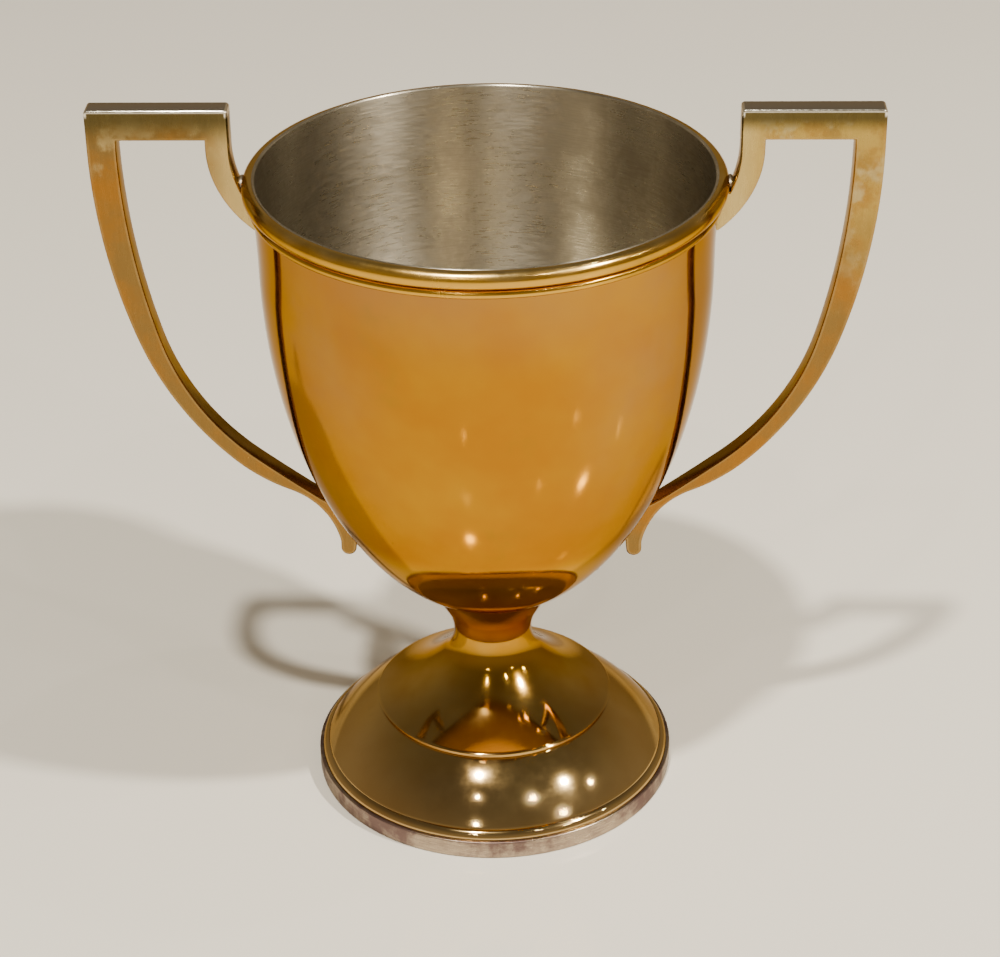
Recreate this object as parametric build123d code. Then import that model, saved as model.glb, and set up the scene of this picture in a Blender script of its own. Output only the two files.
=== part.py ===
from build123d import *
import os
from math import acos, cos, radians, sin, sqrt, tan

# Two-handled cup trophy: a spun bowl on a trumpet stem and a stepped, domed foot, with two
# flat-cut handles soldered on.  Millimetres, +Z up, origin at the middle of the rest face.
# The handles lie in the XZ plane.  Every piece is gathered in "pieces" under its own name.

os.makedirs("parts", exist_ok=True)
pieces = {}

# ---------------------------------------------------------------- driving dimensions
SHEET = 0.9                   # thickness of every spun shell

# heights that stack up from the rest face
STEP_HEIGHT = 18.8            # crease round the upper step of the foot
WAIST_HEIGHT = 36.0           # narrowest place of the stem
NECK_HEIGHT = 9.0             # waist up to where the bowl's ellipsoid would close
BOWL_DEPTH = 107.4            # from there up to the lip

# bowl: an upright half ellipsoid below, then a wall that opens a little to the lip
BOWL_RADIUS = 49.6            # outside, where the ellipsoid ends
BOWL_ROUND = 87.0             # height of the ellipsoid
LIP_OPENING = 0.6             # how much the wall opens up to the rim wires
BOWL_FLAT_RADIUS = 8.0        # flat on the bottom, where the fixing stud is soldered
BELLY_SPANS = 12              # spans of the smooth curve that follows the ellipse

# rim wires, both half round with their flat side on the bowl
RIM_BEAD_DEPTH = 2.05
RIM_WIRE_DEPTH = 0.95
RIM_WIRE_GAP = 0.15           # solder line between the two wires
RIM_BEAD_DROP = 0.1           # the lip stands this much above the bead

# stem and upper step, one spinning
WAIST_RADIUS = 9.1
NECK_CURVE_RADIUS = 12.0      # hollow curve from the waist up towards the bowl
NECK_LEAN = 30.0              # how far the neck leans out where it meets the bowl, in degrees
TRUMPET_CURVE_RADIUS = 8.75   # hollow curve from the waist down towards the step
TRUMPET_TURN = 43.0           # how far that curve turns, in degrees, before it opens out flatter
STEP_RADIUS = 27.8
STEP_RISER = 1.2              # small upright wall under the crease
RISER_SET_IN = 0.4

# lower dome of the foot
DOME_EDGE_RADIUS = 39.9
DOME_EDGE_HEIGHT = 6.4
DOME_CROWN = 0.8              # how much the dome's slope bulges
DOME_LEDGE = 3.0              # flat ring that the step stands on
DOME_SKIRT_LIFT = 0.8         # the dome's skirt ends this much above the rest face

# foot wires
FOOT_BAND_WIDTH = 2.3         # plain band that the cup stands on
FOOT_BAND_HEIGHT = 4.4
FOOT_BAND_ROUND = 0.35        # softened outer edges of the band
FOOT_BEAD_DEPTH = 1.5         # bead above the band

# handles, cut from flat bar
HANDLE_THICKNESS = 5.2
HANDLE_PROJECTION = 32.65     # outside of the grip beyond the rim bead
HANDLE_RISE = 14.6            # top of the handle above the lip
TOP_BAR_HEIGHT = 6.9
GRIP_WIDTH = 6.4              # outer limb at its top
GRIP_STRAIGHT = 9.0           # straight start of the grip, down from the top
ARM_WIDTH = 5.2               # inner limb at its top
ARM_CLEARANCE = 2.1           # inner limb outside the rim bead
HANDLE_CORNER = 0.8           # softened corners of the top bar
HANDLE_EDGE = 0.45            # softened front and back edges
ELBOW_DOWN_SHARE = 0.639      # elbow of the grip, of the way down from its top to the lower sweep
ELBOW_IN_SHARE = 0.2734       # and of the way in from the top to the sweep
ELBOW_WIDTH = 5.1
SWEEP_DROP = 49.5             # lower sweep of the grip below the middle of the ellipsoid
SWEEP_STAND_OFF = 17.4        # its outside, off the bowl's wall
SWEEP_WIDTH = 5.9
ANKLE_DROP = 57.6             # where the limb turns down along the bowl
ANKLE_STAND_OFF = 8.5
INSTEP_DROP = 59.7            # upper side of the limb there
INSTEP_STAND_OFF = 2.6
HEEL_DROP = 65.2
HEEL_STAND_OFF = 4.1
TOE_JOIN_DROP = 67.7          # lowest place where the limb touches the bowl
TOE_HANG = 5.4                # the round toe hangs this much below that
TOE_WIDTH = 3.5
SADDLE_DEPTH = 2.4            # how far a limb's outline runs into the bowl before it is cut to fit
ARM_LANDING_DROP = 13.2       # lower corner of the arm on the bowl, below the lip
ARM_BEND_DROP = 3.4           # bend of the arm's window side below the lip
ARM_BEND_SET_IN = 1.9

# solder left in the notches between the handles and the cup
UPPER_SOLDER_RADIUS = 1.6
LOWER_SOLDER_RADIUS = 1.3
SOLDER_SET_IN = 0.4           # solder ends short of the handle's faces

# hidden fixing of the bowl to the stem
STUD_RADIUS = 2.5
STUD_FLANGE_RADIUS = 7.0
STUD_FLANGE_THICKNESS = 1.4
STUD_PAST_NUT = 2.0
CLAMP_DROP = 3.8              # clamp washer's upper face below the waist
CLAMP_THICKNESS = 2.0
CLAMP_BORE_CLEARANCE = 0.25
NUT_ACROSS_FLATS = 8.0
NUT_THICKNESS = 4.0

# ---------------------------------------------------------------- worked-out places
UP = (0, 1)
DOWN = (0, -1)
bowl_bottom_z = WAIST_HEIGHT + NECK_HEIGHT
bowl_centre_z = bowl_bottom_z + BOWL_ROUND
lip_z = bowl_bottom_z + BOWL_DEPTH
lip_radius = BOWL_RADIUS + LIP_OPENING
rim_bead_z = lip_z - RIM_BEAD_DROP - RIM_BEAD_DEPTH
rim_wire_z = rim_bead_z - RIM_BEAD_DEPTH - RIM_WIRE_GAP - RIM_WIRE_DEPTH
rim_foot_z = rim_wire_z - RIM_WIRE_DEPTH
rim_outer_radius = lip_radius + RIM_BEAD_DEPTH
riser_foot_z = STEP_HEIGHT - STEP_RISER
riser_radius = STEP_RADIUS - RISER_SET_IN
foot_radius = DOME_EDGE_RADIUS + FOOT_BAND_WIDTH


def bowl_height(radius, inset=0.0):
    """Height of the ellipsoid at a radius, for the outside or for a skin set in from it."""
    share = radius / (BOWL_RADIUS - inset)
    return bowl_centre_z - (BOWL_ROUND - inset) * sqrt(1 - share * share)


def beside_bowl(drop, stand_off):
    """A point off the ellipsoid's wall, a drop below the ellipsoid's middle."""
    share = drop / BOWL_ROUND
    return (BOWL_RADIUS * sqrt(1 - share * share) + stand_off, bowl_centre_z - drop)


def spin(face):
    """A solid of revolution about the cup's axis from a face in the XZ plane."""
    return revolve(face, axis=Axis.Z)


def disc(radius, low, high):
    """A plain disc on the cup's axis between two heights."""
    return Pos(0, 0, low) * Cylinder(radius, high - low, align=(Align.CENTER, Align.CENTER, Align.MIN))


def half_round_ring(height, radius, depth):
    """A half-round wire bent into a ring, flat side inwards."""
    low = (radius, height - depth)
    high = (radius, height + depth)
    with BuildSketch(Plane.XZ) as section:
        with BuildLine():
            ThreePointArc(low, (radius + depth, height), high)
            Line(high, low)
        make_face()
    return spin(section.sketch)


def bulge(start, end, crown):
    """An arc from start to end that stands out from its chord by crown, away from the axis."""
    chord = Vector(end) - Vector(start)
    outward = Vector(-chord.Y, chord.X).normalized()
    return ThreePointArc(start, Vector(start) + chord / 2 + outward * crown, end)


# ---------------------------------------------------------------- bowl and its rim wires
def bowl_block(inset):
    """The bowl's shape filled solid up to the lip, set in by a sheet's thickness or by nothing."""
    across = BOWL_RADIUS - inset
    down = BOWL_ROUND - inset
    turn = acos(BOWL_FLAT_RADIUS / across)
    angles = [turn * step / BELLY_SPANS for step in range(BELLY_SPANS, -1, -1)]
    ellipse = [(across * cos(angle), bowl_centre_z - down * sin(angle)) for angle in angles]
    wall = lip_radius - inset
    with BuildSketch(Plane.XZ) as section:
        with BuildLine():
            leaving = (across * sin(turn), down * cos(turn))
            belly = Spline(ellipse, tangents=[leaving, UP])
            flare = TangentArc(belly @ 1, (wall, rim_foot_z), tangent=UP)
            collar = Line(flare @ 1, (wall, lip_z))
            Polyline(collar @ 1, (0, lip_z), (0, ellipse[0][1]), ellipse[0])
        make_face()
    return spin(section.sketch)


bowl_filled = bowl_block(0.0)
pieces["bowl"] = bowl_filled - bowl_block(SHEET)
pieces["rim_bead"] = half_round_ring(rim_bead_z, lip_radius, RIM_BEAD_DEPTH)
pieces["rim_fillet_wire"] = half_round_ring(rim_wire_z, lip_radius, RIM_WIRE_DEPTH)

# ---------------------------------------------------------------- stem and upper step
neck_turn = radians(NECK_LEAN)
trumpet_turn = radians(TRUMPET_TURN)
waist = (WAIST_RADIUS, WAIST_HEIGHT)
neck_bend = (
    WAIST_RADIUS + NECK_CURVE_RADIUS * (1 - cos(neck_turn)),
    WAIST_HEIGHT + NECK_CURVE_RADIUS * sin(neck_turn),
)
neck_rise = bowl_height(neck_bend[0] + NECK_HEIGHT) - neck_bend[1]
neck_top = (neck_bend[0] + neck_rise * tan(neck_turn), neck_bend[1] + neck_rise)
trumpet_bend = (
    WAIST_RADIUS + TRUMPET_CURVE_RADIUS * (1 - cos(trumpet_turn)),
    WAIST_HEIGHT - TRUMPET_CURVE_RADIUS * sin(trumpet_turn),
)


with BuildSketch(Plane.XZ) as stem_wall:
    with BuildLine():
        neck = Line(neck_top, neck_bend)
        cove = TangentArc(neck @ 1, waist, tangent=neck % 1)
        hollow = TangentArc(cove @ 1, trumpet_bend, tangent=DOWN)
        slope = TangentArc(hollow @ 1, (STEP_RADIUS, STEP_HEIGHT), tangent=hollow % 1)
        crease = Line(slope @ 1, (riser_radius, STEP_HEIGHT - RISER_SET_IN))
        Line(crease @ 1, (riser_radius, riser_foot_z))
        offset(amount=SHEET, side=Side.RIGHT)
    make_face()
pieces["stem_and_step"] = spin(stem_wall.sketch) - bowl_filled

# ---------------------------------------------------------------- foot
with BuildSketch(Plane.XZ) as dome_wall:
    with BuildLine():
        ledge = Line((riser_radius - DOME_LEDGE, riser_foot_z), (riser_radius, riser_foot_z))
        slope = bulge(ledge @ 1, (DOME_EDGE_RADIUS, DOME_EDGE_HEIGHT), DOME_CROWN)
        Line(slope @ 1, (DOME_EDGE_RADIUS, DOME_SKIRT_LIFT))
        offset(amount=SHEET, side=Side.RIGHT)
    make_face()
pieces["foot_dome"] = spin(dome_wall.sketch)

with BuildSketch(Plane.XZ) as bead_section:
    with BuildLine():
        flat_side = Line((DOME_EDGE_RADIUS, DOME_EDGE_HEIGHT), (DOME_EDGE_RADIUS, FOOT_BAND_HEIGHT))
        under = Line(flat_side @ 1, (DOME_EDGE_RADIUS + FOOT_BEAD_DEPTH, FOOT_BAND_HEIGHT))
        TangentArc(under @ 1, flat_side @ 0, tangent=UP)
    make_face()
pieces["foot_bead"] = spin(bead_section.sketch)

with BuildSketch(Plane.XZ) as band_section:
    with Locations((DOME_EDGE_RADIUS + FOOT_BAND_WIDTH / 2, FOOT_BAND_HEIGHT / 2)):
        bar = Rectangle(FOOT_BAND_WIDTH, FOOT_BAND_HEIGHT)
    fillet(bar.vertices().sort_by(Axis.X)[-2:], FOOT_BAND_ROUND)
pieces["foot_rim_band"] = spin(band_section.sketch)

# ---------------------------------------------------------------- handles
# One outline for both: X is the reach from the axis and Z the height.
handle_top_z = lip_z + HANDLE_RISE
window_top_z = handle_top_z - TOP_BAR_HEIGHT
grip_top_z = handle_top_z - GRIP_STRAIGHT
grip_outer = rim_outer_radius + HANDLE_PROJECTION
grip_inner = grip_outer - GRIP_WIDTH
arm_inner = rim_outer_radius + ARM_CLEARANCE
arm_outer = arm_inner + ARM_WIDTH
sweep_outer = beside_bowl(SWEEP_DROP, SWEEP_STAND_OFF)
elbow_outer = (
    grip_outer - ELBOW_IN_SHARE * (grip_outer - sweep_outer[0]),
    handle_top_z - ELBOW_DOWN_SHARE * (handle_top_z - sweep_outer[1]),
)
elbow_inner = (elbow_outer[0] - ELBOW_WIDTH, elbow_outer[1])
sweep_inner = (sweep_outer[0] - SWEEP_WIDTH, sweep_outer[1])
ankle = beside_bowl(ANKLE_DROP, ANKLE_STAND_OFF)
instep = beside_bowl(INSTEP_DROP, INSTEP_STAND_OFF)
heel = beside_bowl(HEEL_DROP, HEEL_STAND_OFF)
toe_join = beside_bowl(TOE_JOIN_DROP, 0.0)
toe_z = toe_join[1] - TOE_HANG
toe_outer_x = toe_join[0] + TOE_WIDTH
arm_bend = (arm_outer - ARM_BEND_SET_IN, lip_z - ARM_BEND_DROP)
arm_landing = (BOWL_RADIUS, lip_z - ARM_LANDING_DROP)
arm_seat_top = (rim_outer_radius, rim_bead_z - RIM_BEAD_DEPTH)
saddle_x = BOWL_RADIUS - SADDLE_DEPTH


def flow(points, direction):
    """Arcs through a few points, each tangent to the one before; the first leaves along direction."""
    for start, end in zip(points, points[1:]):
        arc = TangentArc(start, end, tangent=direction)
        direction = arc % 1
    return arc


with BuildPart() as handle_bar:
    with BuildSketch(Plane.XZ) as handle_outline:
        with BuildLine():
            Polyline((arm_inner, grip_top_z), (arm_inner, handle_top_z), (grip_outer, handle_top_z),
                     (grip_outer, grip_top_z))
            toe_top = (toe_outer_x, toe_z + TOE_WIDTH / 2)
            flow([(grip_outer, grip_top_z), elbow_outer, sweep_outer, ankle, heel, toe_top], DOWN)
            Line(toe_top, (toe_outer_x, toe_z))
            ThreePointArc((toe_outer_x, toe_z), (toe_outer_x - TOE_WIDTH / 2, toe_z - TOE_WIDTH / 2),
                          (toe_join[0], toe_z))
            Polyline((toe_join[0], toe_z), (toe_join[0], instep[1] - SADDLE_DEPTH), instep)
            flow([(grip_inner, grip_top_z), elbow_inner, sweep_inner, instep], DOWN)
            Polyline((grip_inner, grip_top_z), (grip_inner, window_top_z), (arm_outer, window_top_z),
                     (arm_outer, grip_top_z))
            flow([(arm_outer, grip_top_z), arm_bend, arm_landing], DOWN)
            Polyline(arm_landing, (saddle_x, arm_landing[1]), (saddle_x, arm_seat_top[1]), arm_seat_top)
            TangentArc((arm_inner, grip_top_z), arm_seat_top, tangent=DOWN)
        make_face()
        top_corners = handle_outline.vertices().group_by(Axis.Y)[-1]
        fillet(top_corners, HANDLE_CORNER)
    extrude(amount=HANDLE_THICKNESS / 2, both=True)
    for side in (0, -1):
        flat_face = handle_bar.faces().filter_by(Axis.Y).sort_by(Axis.Y)[side]
        fillet(flat_face.edges(), HANDLE_EDGE)

handle_right = handle_bar.part - bowl_filled - pieces["rim_bead"] - pieces["rim_fillet_wire"]


def solder_in_notch(radius, middle, *neighbours):
    """A run of solder along Y, cut back to the notch that its neighbours leave open."""
    length = HANDLE_THICKNESS - 2 * SOLDER_SET_IN
    run = Pos(middle[0], 0, middle[1]) * Rot(90, 0, 0) * Cylinder(radius, length)
    for neighbour in neighbours:
        run -= neighbour
    return run


upper_notch = (rim_outer_radius + ARM_CLEARANCE / 3, rim_bead_z - RIM_BEAD_DEPTH / 3)
lower_notch = (toe_join[0] - LOWER_SOLDER_RADIUS / 2, toe_join[1] - LOWER_SOLDER_RADIUS)
upper_solder = solder_in_notch(
    UPPER_SOLDER_RADIUS, upper_notch,
    handle_right, pieces["rim_bead"], pieces["rim_fillet_wire"], bowl_filled,
)
lower_solder = solder_in_notch(LOWER_SOLDER_RADIUS, lower_notch, handle_right, bowl_filled)

for stem_name, right_piece in {
    "handle": handle_right, "upper_solder": upper_solder, "lower_solder": lower_solder,
}.items():
    pieces[stem_name + "_right"] = right_piece
    pieces[stem_name + "_left"] = mirror(right_piece, about=Plane.YZ)

# ---------------------------------------------------------------- hidden fixing
bowl_flat_z = bowl_height(BOWL_FLAT_RADIUS)
flange_foot_z = bowl_flat_z - STUD_FLANGE_THICKNESS
clamp_top_z = WAIST_HEIGHT - CLAMP_DROP
clamp_foot_z = clamp_top_z - CLAMP_THICKNESS
nut_foot_z = clamp_foot_z - NUT_THICKNESS

pieces["bowl_stud"] = (
    disc(STUD_FLANGE_RADIUS, flange_foot_z, bowl_flat_z)
    + disc(STUD_RADIUS, nut_foot_z - STUD_PAST_NUT, flange_foot_z)
)


def hollow_inside(height):
    """A point on the inside of the stem's hollow curve, below the waist."""
    reach = TRUMPET_CURVE_RADIUS + SHEET
    drop = WAIST_HEIGHT - height
    return (WAIST_RADIUS + TRUMPET_CURVE_RADIUS - sqrt(reach * reach - drop * drop), height)


clamp_bore = STUD_RADIUS + CLAMP_BORE_CLEARANCE
with BuildSketch(Plane.XZ) as clamp_section:
    with BuildLine():
        seat = ThreePointArc(
            hollow_inside(clamp_foot_z), hollow_inside((clamp_foot_z + clamp_top_z) / 2),
            hollow_inside(clamp_top_z),
        )
        Polyline(seat @ 1, (clamp_bore, clamp_top_z), (clamp_bore, clamp_foot_z), seat @ 0)
    make_face()
pieces["clamp_washer"] = spin(clamp_section.sketch)

with BuildPart() as nut:
    with BuildSketch(Plane.XY.offset(nut_foot_z)):
        RegularPolygon(NUT_ACROSS_FLATS / 2, 6, major_radius=False)
        Circle(STUD_RADIUS, mode=Mode.SUBTRACT)
    extrude(amount=NUT_THICKNESS)
pieces["stud_nut"] = nut.part

# ---------------------------------------------------------------- one file per piece
for name, piece in pieces.items():
    export_step(piece, f"parts/{name}.step")
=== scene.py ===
# %% [markdown]
# # A two-handled cup trophy
#
# The cup is a spun bowl on a trumpet stem and a stepped foot, with two flat handles soldered
# to its sides. The drawing made in CAD is loaded first, and every piece below is built again
# over its own CAD piece with finer, softer shapes and a real metal finish. All lengths are in
# metres, the cup stands on the height zero, and the handles lie left and right, along X.

# %% Load the drawing
import random
from math import acos, atan2, cos, hypot, pi, radians, sin, sqrt, tan

import bpy
from mathutils import Matrix, Vector


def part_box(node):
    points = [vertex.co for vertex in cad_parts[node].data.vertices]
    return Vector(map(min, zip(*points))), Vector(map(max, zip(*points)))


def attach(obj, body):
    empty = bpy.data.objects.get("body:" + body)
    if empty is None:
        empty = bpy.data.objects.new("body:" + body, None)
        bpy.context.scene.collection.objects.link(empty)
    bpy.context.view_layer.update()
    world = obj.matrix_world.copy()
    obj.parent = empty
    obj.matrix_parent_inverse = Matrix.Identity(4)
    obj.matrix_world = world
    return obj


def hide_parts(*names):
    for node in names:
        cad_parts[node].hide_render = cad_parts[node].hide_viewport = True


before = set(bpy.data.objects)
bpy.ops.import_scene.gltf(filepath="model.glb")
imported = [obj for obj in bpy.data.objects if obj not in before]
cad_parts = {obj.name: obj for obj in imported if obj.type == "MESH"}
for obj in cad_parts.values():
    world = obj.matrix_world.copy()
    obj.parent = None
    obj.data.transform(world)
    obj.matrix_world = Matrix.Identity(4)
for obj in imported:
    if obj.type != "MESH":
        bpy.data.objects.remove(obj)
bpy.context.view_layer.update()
MM = 0.001
print("CAD pieces:", sorted(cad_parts))


def corners(name):
    """The low and the high corner of a CAD piece's box."""
    return [Vector(corner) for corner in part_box(name)]


# %% [markdown]
# ## Tools for round pieces
#
# Most of a spun cup is round. A Screw modifier could turn a profile about the upright axis,
# but a short function gives exact points and leaves nothing to apply. A profile is a list of
# points, each a radius and a height. It goes up the outside and down the inside, so that every
# face looks outwards.

# %% Tools for round pieces
TURNS = 240
CREASE_ANGLE = radians(40)
ON_AXIS = 1e-7


def make_piece(name, points, faces, finishes, replaced, face_finish=None):
    """A mesh object that stands for its CAD pieces, smooth but for real creases."""
    mesh = bpy.data.meshes.new(name)
    mesh.from_pydata(points, [], faces)
    for material in finishes:
        mesh.materials.append(material)
    if face_finish:
        mesh.polygons.foreach_set("material_index", face_finish)
    mesh.shade_smooth()
    mesh.set_sharp_from_angle(angle=CREASE_ANGLE)
    piece = bpy.data.objects.new(name, mesh)
    bpy.context.collection.objects.link(piece)
    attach(piece, "root")
    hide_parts(*replaced)
    print(name, "has", len(points), "points and", len(faces), "faces")
    return piece


def spin_mesh(profile, turns=TURNS, closed=False):
    """Points and faces of a profile spun about the upright axis."""
    points, rings, faces = [], [], []
    for radius, height in profile:
        count = turns if radius > ON_AXIS else 1
        rings.append(range(len(points), len(points) + count))
        for step in range(count):
            angle = 2 * pi * step / turns
            points.append((radius * cos(angle), radius * sin(angle), height))
    pairs = list(zip(rings, rings[1:]))
    if closed:
        pairs.append((rings[-1], rings[0]))
    for low, high in pairs:
        for step in range(turns):
            after = (step + 1) % turns
            quad = [low[step % len(low)], low[after % len(low)],
                    high[after % len(high)], high[step % len(high)]]
            faces.append(list(dict.fromkeys(quad)))
    return points, faces


# %% [markdown]
# ## Smooth curves
#
# A Bezier curve could be drawn by eye for each profile. Arcs are used instead, because a
# spinner's tools leave arcs. An arc that starts in the direction in which the last one ended
# can't show a kink, and polished metal shows every kink.

# %% Tools for smooth curves
def arc(start, end, direction, steps=16):
    """Points on the arc that leaves start along direction and ends at end, and its last direction."""
    start, end = Vector(start), Vector(end)
    along = Vector(direction).normalized()
    chord = end - start
    half_turn = atan2(along.x * chord.y - along.y * chord.x, along.dot(chord))
    radius = chord.length / (2 * sin(half_turn))
    across = Vector((-along.y, along.x))
    points = []
    for step in range(steps + 1):
        turned = 2 * half_turn * step / steps
        points.append(start + radius * (sin(turned) * along + (1 - cos(turned)) * across))
    leaving = cos(2 * half_turn) * along + sin(2 * half_turn) * across
    return [tuple(point) for point in points], tuple(leaving)


def bulge(start, end, crown, steps=24):
    """Points on an arc that stands out from its chord by crown, to the left of the way it runs."""
    chord = Vector(end) - Vector(start)
    lean = 2 * atan2(2 * crown, chord.length)
    along = Vector((chord.x * cos(lean) - chord.y * sin(lean),
                    chord.x * sin(lean) + chord.y * cos(lean)))
    return arc(start, end, along, steps)[0]


def parallel(points, gap):
    """The points moved sideways by gap, to the right of the way they run."""
    moved = []
    last = len(points) - 1
    for index, (x, y) in enumerate(points):
        before = points[max(index - 1, 0)]
        after = points[min(index + 1, last)]
        run = hypot(after[0] - before[0], after[1] - before[1])
        moved.append((x + gap * (after[1] - before[1]) / run, y - gap * (after[0] - before[0]) / run))
    return moved


# %% [markdown]
# ## Ways to build a finish
#
# Every finish is made of nodes: noise for colour, roughness and bump. A painted picture would
# need unwrapping and turns soft near by, and noise in the object's own space does not. Metal
# turned on a lathe keeps very fine lines round its axis, so its noise is stretched that way: it
# reads the distance from the axis and the height closely, and the angle hardly at all.

# %% Tools for finishes
def put(tree, kind, wires=None, **settings):
    """Adds a shader node. Wires gives each input a value or another node's output."""
    node = tree.nodes.new("ShaderNode" + kind)
    for key, value in settings.items():
        setattr(node, key, value)
    for key, value in (wires or {}).items():
        if isinstance(value, bpy.types.NodeSocket):
            tree.links.new(value, node.inputs[key])
        else:
            node.inputs[key].default_value = value
    return node


def maths(tree, operation, first, second=0.0):
    """One sum of two values."""
    return put(tree, "Math", {0: first, 1: second}, operation=operation).outputs[0]


def spread(tree, value, low, high, to_low=0.0, to_high=1.0):
    """Stretches a value between low and high to another range, smoothly and held at its ends."""
    wires = {"Value": value, "From Min": low, "From Max": high, "To Min": to_low, "To Max": to_high}
    return put(tree, "MapRange", wires, interpolation_type="SMOOTHSTEP").outputs["Result"]


def mixed(tree, share, first, second):
    """A colour between two others."""
    node = put(tree, "Mix", data_type="RGBA", blend_type="MIX")
    for socket, value in ((node.inputs[0], share), (node.inputs[6], first), (node.inputs[7], second)):
        if isinstance(value, bpy.types.NodeSocket):
            tree.links.new(value, socket)
        else:
            socket.default_value = value if isinstance(value, float) else (*value, 1.0)
    return node.outputs[2]


def cloud(tree, size, detail=3.0, roughness=0.5, stretch=(1.0, 1.0, 1.0), shift=0.0):
    """Soft noise whose patches are about one size across, in metres."""
    where = put(tree, "TexCoord").outputs["Object"]
    moved = put(tree, "Mapping", {"Vector": where, "Location": (shift, shift, shift), "Scale": stretch})
    wires = {"Vector": moved.outputs[0], "Scale": 1 / size, "Detail": detail, "Roughness": roughness}
    return put(tree, "TexNoise", wires).outputs[0]


def turning_lines(tree, pitch, reach, detail=2.0):
    """Fine lines round the axis, a pitch apart, that fade and return within a reach of the angle."""
    where = put(tree, "SeparateXYZ", {0: put(tree, "TexCoord").outputs["Object"]})
    x, y, z = where.outputs
    squares = maths(tree, "ADD", maths(tree, "MULTIPLY", x, x), maths(tree, "MULTIPLY", y, y))
    radius = maths(tree, "SQRT", squares)
    cosine = maths(tree, "MULTIPLY", maths(tree, "DIVIDE", x, radius), reach)
    sine = maths(tree, "MULTIPLY", maths(tree, "DIVIDE", y, radius), reach)
    place = put(tree, "CombineXYZ", {
        0: maths(tree, "MULTIPLY", radius, 1 / pitch), 1: maths(tree, "MULTIPLY", z, 1 / pitch), 2: cosine})
    wires = {"Vector": place.outputs[0], "W": sine, "Scale": 1.0, "Detail": detail}
    return put(tree, "TexNoise", wires, noise_dimensions="4D").outputs[0]


GOLD_AT_THE_EDGE = (0.62, 0.50, 0.36)
SILVER_AT_THE_EDGE = (0.6, 0.58, 0.55)


def metal(name, edge_tint=GOLD_AT_THE_EDGE):
    """A new metal material: its node tree and its shader. The edge tint colours glancing views."""
    material = bpy.data.materials.new(name)
    material.use_nodes = True
    shader = material.node_tree.nodes["Principled BSDF"]
    shader.inputs["Metallic"].default_value = 1.0
    shader.inputs["Specular Tint"].default_value = (*edge_tint, 1.0)
    return material, material.node_tree, shader


def finish_off(tree, shader, colour, roughness, height, depth):
    """Wires colour, roughness and bump into the shader. Depth is in metres."""
    tree.links.new(colour, shader.inputs["Base Color"])
    tree.links.new(roughness, shader.inputs["Roughness"])
    bump = put(tree, "Bump", {"Height": height, "Distance": depth, "Strength": 1.0})
    tree.links.new(bump.outputs[0], shader.inputs["Normal"])


# %% [markdown]
# ## The gilding
#
# The cup is silver plate, washed with gold. Gold that is thick looks deep orange, and where
# hands and cloths have thinned it the silver shows through and it turns pale. One function
# makes the finishes of the bowl, the rim and the foot, each with its own amounts, so that all
# of them share the same kind of stains. Some of the pale and bright gold is painted light: a
# painted reflection on the bowl's sides, under its rim and low on its bottom, and a painted
# highlight along the top of the rim wires. The colours are deeper than gold looks, because the
# renderer's view transform pales strong colours.

# %% Gilt finishes
DEEP_GOLD = (0.40, 0.160, 0.004)
YELLOW_GOLD = (0.45, 0.215, 0.008)
ROSE_GOLD = (0.31, 0.175, 0.095)
PALE_GILT_AND_HIGHLIGHT = (0.80, 0.64, 0.32)
PAINTED_REFLECTION_GOLD = (0.80, 0.47, 0.09)
RIM_GOLD = (0.64, 0.36, 0.045)
FOOT_GOLD, FOOT_PALE = (0.62, 0.42, 0.13), (0.54, 0.38, 0.19)
TARNISH = (0.16, 0.09, 0.03)
OLIVE_STAIN = (0.30, 0.17, 0.012)
GILT_BUMP = 0.00002
PAINTED_REFLECTION_FADE = 0.012
NOWHERE = -1.0


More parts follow.
